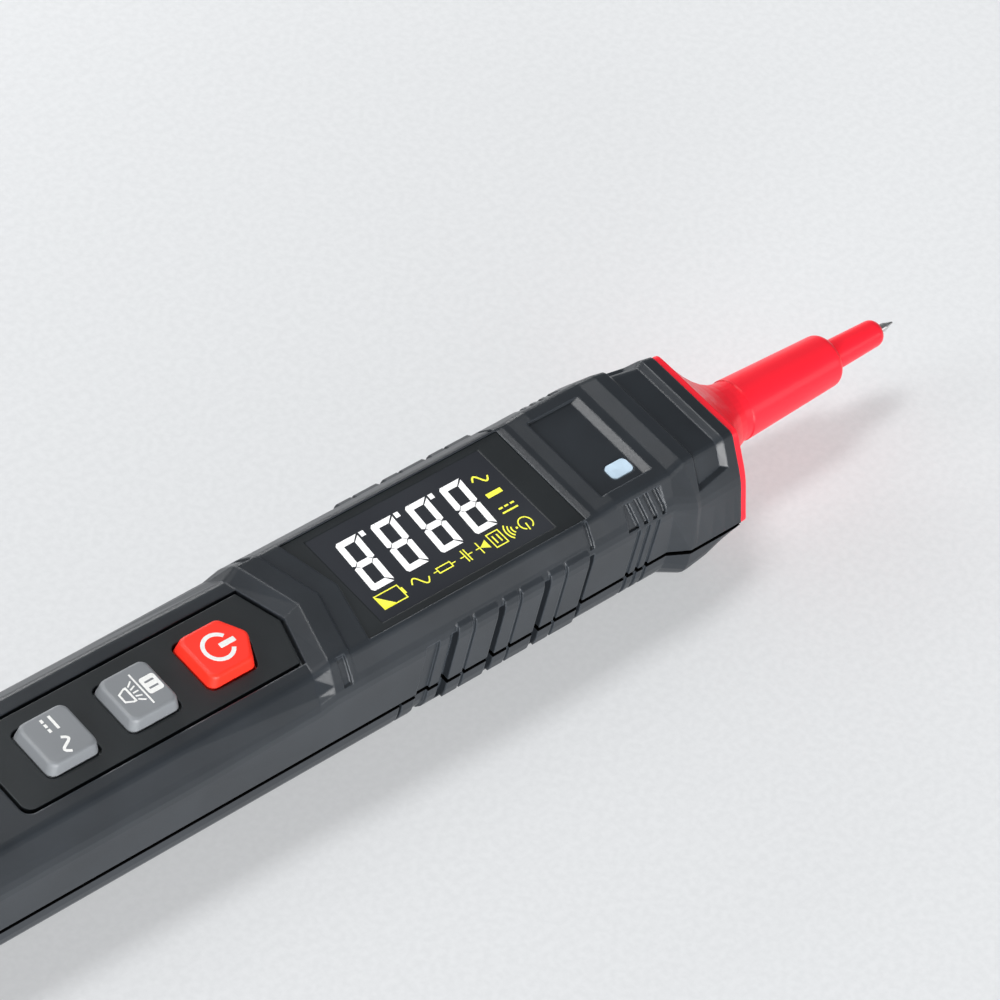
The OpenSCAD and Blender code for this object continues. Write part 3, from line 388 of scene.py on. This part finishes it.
def flat_mesh(shape, thickness):
    """The filled mesh of one shape. A shape is a loop, or a list of loops whose inner ones are holes."""
    curve = bpy.data.curves.new("shape", "CURVE")
    curve.dimensions = "2D"
    curve.fill_mode = "BOTH"
    curve.extrude = thickness / 2 / MM
    loops = shape if isinstance(shape[0][0], tuple) else [shape]
    for loop in loops:
        spline = curve.splines.new("POLY")
        spline.points.add(len(loop) - 1)
        for point, (x, y) in zip(spline.points, loop):
            point.co = (x, y, 0, 1)
        spline.use_cyclic_u = True
    source = bpy.data.objects.new("shape", curve)
    mesh = bpy.data.meshes.new_from_object(source)
    bpy.data.objects.remove(source)
    return mesh


def graphic(name, shapes, place, material, body, thickness=0.03 * MM):
    """A thin raised print. place carries millimetres on the drawing to metres on the pen."""
    joined = bmesh.new()
    for shape in shapes:
        part = flat_mesh(shape, thickness)
        joined.from_mesh(part)
        bpy.data.meshes.remove(part)
    mesh = bpy.data.meshes.new(name)
    joined.to_mesh(mesh)
    joined.free()
    mesh.transform(place)
    mesh.materials.clear()
    mesh.materials.append(material)
    piece = bpy.data.objects.new(name, mesh)
    bpy.context.scene.collection.objects.link(piece)
    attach(piece, body)
    return piece


def standing(origin, right, up):
    """The transform of a drawing whose x runs along right and y along up, at origin."""
    right = Vector(right)
    up = Vector(up)
    out = right.cross(up)
    turn = Matrix((right, up, out)).transposed().to_4x4()
    return Matrix.Translation(origin) @ turn @ Matrix.Scale(MM, 4)


WHITE_INK = printed("white ink", (0.88, 0.88, 0.86), 0.0)
LIT_WHITE = printed("lit segment", (0.95, 0.95, 0.95), 0.25)
LIT_YELLOW = printed("lit pictograph", (0.92, 0.90, 0.07), 0.25)
LIFT = 0.01 * MM

# Stroke widths of the signs
FINE = 0.16
LINE = 0.18
PLATE = 0.2
MEDIUM = 0.22
STOUT = 0.24
BOLD = 0.28
KEY_STROKE = 0.42


def power_ring(x, y, r, width, opening):
    """A ring that is open at its top, by an angle in degrees."""
    return arc_band(x, y, r, width, 90 + opening / 2, 450 - opening / 2)


def direct_current_sign(left, right, y, drop, dash, pitch, width):
    """A bar over three dashes."""
    sign = [bar(left, y, right, y, width)]
    for i in range(3):
        x = left + i * pitch
        sign.append(bar(x, y - drop, x + dash, y - drop, width))
    return sign


# Key symbols read towards -Y, with +X up
KEY_RIGHT = (0, -1, 0)
KEY_UP = (1, 0, 0)
POWER_SHIFT = -0.5
RAY_COUNT = 5
RAY_PITCH = 0.5
RAY_LEAN = 0.18
RAY_FOOT = -0.95
RAY_HEAD = -0.05


def on_key(node, shift=0.0):
    """Puts a drawing's middle over the middle of a key, moved up the drawing by shift."""
    middle = centre(node)
    return standing((middle.x + shift * MM, middle.y, top_of(node) + LIFT), KEY_RIGHT, KEY_UP)


def torch_outline(head, tail, top, shoulder, foot):
    """A torch that points up, from the half widths of its head and tail and three heights."""
    return [(-head, top), (head, top), (head, shoulder), (tail, foot), (-tail, foot), (-head, shoulder)]


def torch_rays():
    """Rays that fan out over the torch."""
    rays = []
    for i in range(RAY_COUNT):
        place = i - (RAY_COUNT - 1) / 2
        foot = place * (RAY_PITCH + RAY_LEAN * 0.4)
        head = place * (RAY_PITCH + RAY_LEAN * 2.2)
        rays.append(bar(foot, RAY_FOOT, head, RAY_HEAD, STOUT))
    return rays


def barred_plate(y):
    """A filled plate with two bars left open."""
    bars = [rounded_box(side * 0.55, y, 0.34, 1.5, 0.1) for side in (-1, 1)]
    return [rounded_box(0, y, 2.9, 2.5, 0.45)] + bars


power_symbol = [power_ring(0, 0, 2.15, 0.62, 64), rounded_box(0, 1.55, 0.85, 2.6, 0.15)]
graphic("power_symbol", power_symbol, on_key("power_key", POWER_SHIFT), WHITE_INK, "power_key")

torch = [torch_outline(1.35, 0.8, -1.2, -1.65, -2.9), torch_outline(1.05, 0.6, -1.5, -1.7, -2.62)]
torch_symbol = [barred_plate(2.15), bar(-2.8, 0.45, 2.8, 0.45, 0.26), torch] + torch_rays()
graphic("torch_symbol", torch_symbol, on_key("light_key"), WHITE_INK, "light_key")

function_symbol = direct_current_sign(-3.1, -0.7, 0.75, 1.3, 0.6, 0.9, KEY_STROKE)
function_symbol.append(wave(0.6, 3.2, 0.0, 0.8, KEY_STROKE))
graphic("function_symbol", function_symbol, on_key("function_key"), WHITE_INK, "function_key")

# The display reads towards -X, with -Y up. Its drawing starts at the view area's upper left corner
DISPLAY_RIGHT = (-1, 0, 0)
DISPLAY_UP = (0, -1, 0)
VIEW_LEN = 30.0
VIEW_HIGH = 15.0
WINDOW_LAP = 0.7
PANE_MARGIN = 0.95
PANE_CORNER = 0.3
PANE_DROP = 0.06 * MM
window_low, window_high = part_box("display_window")
pane_top = top_of("display_bezel") - PANE_DROP
display_corner = (window_high[0] - WINDOW_LAP * MM, window_low[1] + WINDOW_LAP * MM, pane_top + LIFT)
on_display = standing(display_corner, DISPLAY_RIGHT, DISPLAY_UP)

# A dark pane fills the bezel's recess over the window
pane_bottom = window_high[2]
pane_loop = rounded_box(VIEW_LEN / 2, -VIEW_HIGH / 2,
                        VIEW_LEN + 2 * PANE_MARGIN, VIEW_HIGH + 2 * PANE_MARGIN, PANE_CORNER)
pane_middle = (display_corner[0], display_corner[1], (pane_bottom + pane_top) / 2)
graphic("display_pane", [pane_loop], standing(pane_middle, DISPLAY_RIGHT, DISPLAY_UP),
        looks["display_window"], "housing", pane_top - pane_bottom)

# A digit's size, the width of its bars, the gap between them and how far it leans
DIGIT_W = 4.0
DIGIT_H = 9.4
STROKE = 1.05
GAP = 0.09
SLANT = 0.08
DIGIT_COUNT = 4
DIGIT_PITCH = 6.35
FIRST_DIGIT_X = 4.7
DIGIT_FOOT = -13.4
POINT_OFFSET = 5.2
POINT_W = 0.8
POINT_H = 0.9
POINT_LEAN = 0.05


def seven_segments(x, y):
    """The seven bars of one digit whose lower left corner is at x, y."""
    half = STROKE / 2
    mid = DIGIT_H / 2
    w = DIGIT_W
    g = GAP
    s = STROKE
    foot = [(g, 0), (w - s * 0.9, 0), (w - s * 0.9, s * 0.95), (s + g, s * 0.95)]
    head = [(g + 0.1, DIGIT_H), (w - s * 0.75, DIGIT_H), (w - s * 0.75, DIGIT_H - s * 0.95),
            (s + g, DIGIT_H - s)]
    middle = [(s * 0.55, mid), (s, mid + half), (w - s, mid + half), (w - s * 0.55, mid),
              (w - s, mid - half), (s, mid - half)]
    lower_left = [(0, 0.3), (s, s + g), (s, mid - half - g), (s * 0.45, mid - g), (0, mid - half * 0.6)]
    upper_left = [(0, mid + half * 0.6), (s * 0.45, mid + g), (s, mid + half + g), (s, DIGIT_H - s - g),
                  (0, DIGIT_H - 0.3)]
    lower_right = [(w - s * 0.9 + g, 0), (w - 0.35, 0), (w, 0.4), (w, mid - half * 0.6),
                   (w - s * 0.45, mid - g), (w - s, mid - half - g), (w - s, s)]
    upper_right = [(w - s * 0.75 + g, DIGIT_H), (w - 0.35, DIGIT_H), (w, DIGIT_H - 0.4),
                   (w, mid + half * 0.6), (w - s * 0.45, mid + g), (w - s, mid + half + g),
                   (w - s, DIGIT_H - s)]
    bars = [foot, head, middle, lower_left, upper_left, lower_right, upper_right]
    return [[(x + px + py * SLANT, y + py) for px, py in loop] for loop in bars]


def decimal_point(x, y):
    """The point after a digit whose lower left corner is at x, y."""
    left = x + POINT_OFFSET
    return [(left, y), (left + POINT_W, y), (left + POINT_W + POINT_LEAN, y + POINT_H),
            (left + POINT_LEAN, y + POINT_H)]


digits = []
for i in range(DIGIT_COUNT):
    digit_x = FIRST_DIGIT_X + i * DIGIT_PITCH
    digits += seven_segments(digit_x, DIGIT_FOOT)
    if i < DIGIT_COUNT - 1:
        digits.append(decimal_point(digit_x, DIGIT_FOOT))
graphic("display_digits", digits, on_display, LIT_WHITE, "housing")


# The display's signs, each from its left end and its middle height

def sound_sign(x, y):
    """A dot with three rings of sound."""
    rings = [arc_band(x, y, r, MEDIUM, -42, 42) for r in (0.85, 1.4, 1.95)]
    return [rounded_box(x, y, 0.36, 0.36, 0.15)] + rings


def barred_box_sign(x, y):
    """An open box with two bars."""
    bars = [bar(x + at, y - 0.7, x + at, y + 0.7, STOUT) for at in (0.75, 1.55)]
    return [box_frame(x, y - 1.35, x + 2.3, y + 1.35, LINE)] + bars


def diode_sign(x, y):
    """A triangle against a bar, with a lead."""
    return [[(x, y + 0.8), (x + 1.4, y), (x, y - 0.8)],
            bar(x + 1.5, y - 1.1, x + 1.5, y + 1.1, LINE), bar(x + 1.4, y, x + 2.2, y, FINE)]


def capacitor_sign(x, y):
    """Two plates with their leads."""
    plates = [bar(x + at, y - 1.1, x + at, y + 1.1, PLATE) for at in (0.85, 1.35)]
    return [bar(x, y, x + 0.8, y, FINE)] + plates + [bar(x + 1.4, y, x + 2.2, y, FINE)]


def resistor_sign(x, y):
    """A long box with two leads."""
    return [box_frame(x + 0.7, y - 0.55, x + 3.3, y + 0.55, LINE),
            bar(x, y, x + 0.7, y, FINE), bar(x + 3.3, y, x + 4.0, y, FINE)]


def cell_sign(x, y):
    """A cell that is half full, with its cap at the left."""
    return [box_frame(x, y - 1.3, x + 4.3, y + 1.35, LINE),
            [(x + 2.0, y + 1.3), (x + 4.2, y + 1.3), (x + 4.2, y - 1.2)],
            bar(x - 0.15, y - 0.55, x - 0.15, y + 0.6, 0.34)]


ROW_Y = -1.95
COLUMN_LEFT = 0.9
COLUMN_RIGHT = 3.6
signs = [power_ring(2.1, ROW_Y, 1.1, PLATE, 56), bar(2.1, ROW_Y, 2.3, ROW_Y + 1.3, MEDIUM)]
signs += sound_sign(3.75, ROW_Y)
signs += barred_box_sign(6.3, ROW_Y)
signs += diode_sign(9.2, ROW_Y)
signs += capacitor_sign(12.1, ROW_Y)
signs += resistor_sign(15.2, ROW_Y)
signs.append(wave(20.1, 23.1, ROW_Y, 0.85, MEDIUM))
signs += cell_sign(24.9, ROW_Y)
signs += direct_current_sign(COLUMN_LEFT, 3.7, -5.0, 0.9, 0.7, 1.05, BOLD)
signs.append(bar(COLUMN_LEFT, -8.6, COLUMN_RIGHT, -8.6, 0.8))
signs.append(wave(COLUMN_LEFT, COLUMN_RIGHT, -11.7, 0.75, BOLD))
graphic("display_pictographs", signs, on_display, LIT_YELLOW, "housing")


# Floor, light and camera

FLOOR_PALENESS = 0.4
FLOOR_REACH = 3.0
FLOOR_DROP = 0.2 * MM
PAPER_LOW = (0.38, 0.39, 0.40)
PAPER_HIGH = (0.42, 0.43, 0.44)
PAPER_GLOW = (0.98, 0.99, 1, 1)
STUDIO_GREY = (0.85, 0.88, 0.92, 1)
STUDIO_STRENGTH = 0.18


def stage_floor():
    """A pale paper floor, whose paleness only the camera, reflections and clear pieces see."""
    mesh = bpy.data.meshes.new("floor")
    reach = FLOOR_REACH
    corners = [(-reach, -reach, 0), (reach, -reach, 0), (reach, reach, 0), (-reach, reach, 0)]
    mesh.from_pydata(corners, [], [(0, 1, 2, 3)])
    floor = bpy.data.objects.new("floor", mesh)
    floor.location.z = -FLOOR_DROP
    bpy.context.scene.collection.objects.link(floor)
    material, tree, shader = new_material("paper")
    fibres = noise(tree, PAPER_FIBRES, detail=4)
    tint = ramp(tree, fibres.outputs["Fac"], PAPER_LOW, PAPER_HIGH)
    tree.links.new(tint.outputs["Color"], shader.inputs["Base Color"])
    tree.links.new(spread(tree, fibres.outputs["Fac"], low=0.75, high=0.9), shader.inputs["Roughness"])
    path = add(tree, "ShaderNodeLightPath")
    seen = path.outputs["Is Camera Ray"]
    for ray in ("Is Glossy Ray", "Is Transmission Ray"):
        either = add(tree, "ShaderNodeMath", operation="MAXIMUM")
        tree.links.new(seen, either.inputs[0])
        tree.links.new(path.outputs[ray], either.inputs[1])
        seen = either.outputs["Value"]
    shader.inputs["Emission Color"].default_value = PAPER_GLOW
    tree.links.new(spread(tree, seen, low=0, high=FLOOR_PALENESS), shader.inputs["Emission Strength"])
    mesh.materials.append(material)


def area_light(name, place, target, size, watts):
    """A white softbox at a place, turned to its target."""
    data = bpy.data.lights.new(name, "AREA")
    data.shape = "RECTANGLE"
    data.size, data.size_y = size
    data.energy = watts
    light = bpy.data.objects.new(name, data)
    light.location = place
    light.rotation_euler = (Vector(target) - Vector(place)).to_track_quat("-Z", "Y").to_euler()
    bpy.context.scene.collection.objects.link(light)


stage_floor()
area_light("side softbox", place=(-0.4, -0.85, 0.12), target=(0, 0, 0.01), size=(0.9, 0.2), watts=15.0)
area_light("tail softbox", place=(-0.85, 0.4, 0.45), target=(0, 0, 0.01), size=(0.5, 0.4), watts=5.0)
area_light("top strip", place=(-0.05, 0.42, 0.86), target=(0, 0, 0.02), size=(0.5, 0.2), watts=4.5)
area_light("far rim", place=(0.1, 0.85, 0.25), target=(0, 0, 0.02), size=(0.8, 0.2), watts=4.0)
area_light("front fill", place=(0.6, -0.75, 0.3), target=(0.05, 0, 0.01), size=(0.5, 0.3), watts=1.0)

world = bpy.data.worlds.new("studio")
bpy.context.scene.world = world
world.use_nodes = True
background = world.node_tree.nodes["Background"]
background.inputs["Color"].default_value = STUDIO_GREY
background.inputs["Strength"].default_value = STUDIO_STRENGTH

# The photograph's view, found by fitting the pen's edges
VIEW_RIGHT = Vector((0.7435, -0.6465, 0.1711))
VIEW_FORWARD = Vector((0.5321, 0.4169, -0.7369))
VIEW_DISTANCE = 641.4 * MM
AIM_BEHIND_TIP = 82.88 * MM
AIM_SIDE = -0.5 * MM
AIM_HEIGHT = 21.58 * MM
SENSOR_WIDTH = 36
LENS_LENGTH = 164.66
NEAREST = 10 * MM
tip_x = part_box("probe_needle")[1][0]
aim = Vector((tip_x - AIM_BEHIND_TIP, AIM_SIDE, AIM_HEIGHT))

camera_data = bpy.data.cameras.new("photo camera")
camera_data.sensor_width = SENSOR_WIDTH
camera_data.lens = LENS_LENGTH
camera_data.clip_start = NEAREST
camera = bpy.data.objects.new("photo camera", camera_data)
view_back = -VIEW_FORWARD.normalized()
view_right = (VIEW_RIGHT - VIEW_RIGHT.dot(view_back) * view_back).normalized()
view_up = view_back.cross(view_right)
camera_turn = Matrix((view_right, view_up, view_back)).transposed().to_4x4()
camera.matrix_world = Matrix.Translation(aim + view_back * VIEW_DISTANCE) @ camera_turn
bpy.context.scene.collection.objects.link(camera)
bpy.context.scene.camera = camera
bpy.context.scene.view_settings.view_transform = "Standard"
